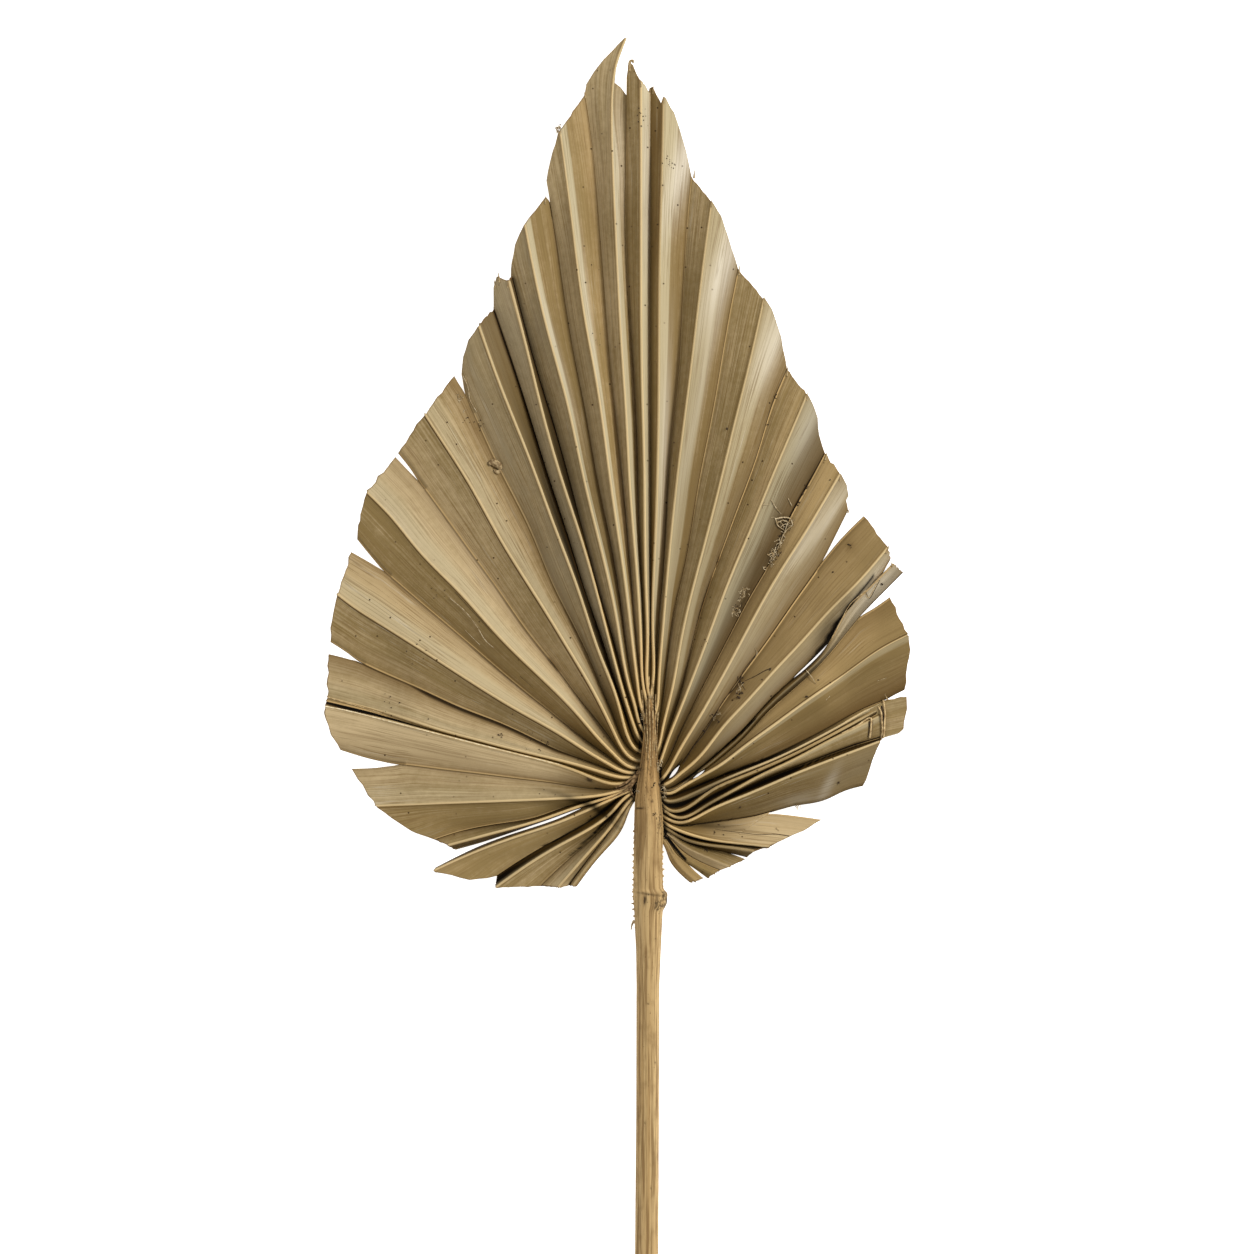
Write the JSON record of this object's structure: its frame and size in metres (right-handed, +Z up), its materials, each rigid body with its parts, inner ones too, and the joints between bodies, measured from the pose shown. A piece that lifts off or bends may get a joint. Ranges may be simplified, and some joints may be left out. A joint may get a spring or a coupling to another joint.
{
  "type": "dried palm spear",
  "caption": "Dried fan palm leaf trimmed to a spear head, with radiating pleats, raised ribs and torn folds, on a slightly curved cut stem, lying face up.",
  "frame": {"origin": "on the surface that the leaf lies on, under the middle of its outline seen from above", "axes": "+Y along the leaf from the cut end of the stem to the apex, +X across the leaf, +Z up out of the ribbed face"},
  "size_m": [0.1996, 0.5, 0.0096],
  "materials": {
    "blade": "dried palm leaf, khaki to straw, satin, with pale ribs and fine lengthwise streaks",
    "stem": "dried palm stalk, light tan, matt and fibrous, with fine dark lengthwise streaks"
  },
  "bodies": {
    "root": {"blade": "blade", "stem": "stem"}
  },
  "joints": []
}
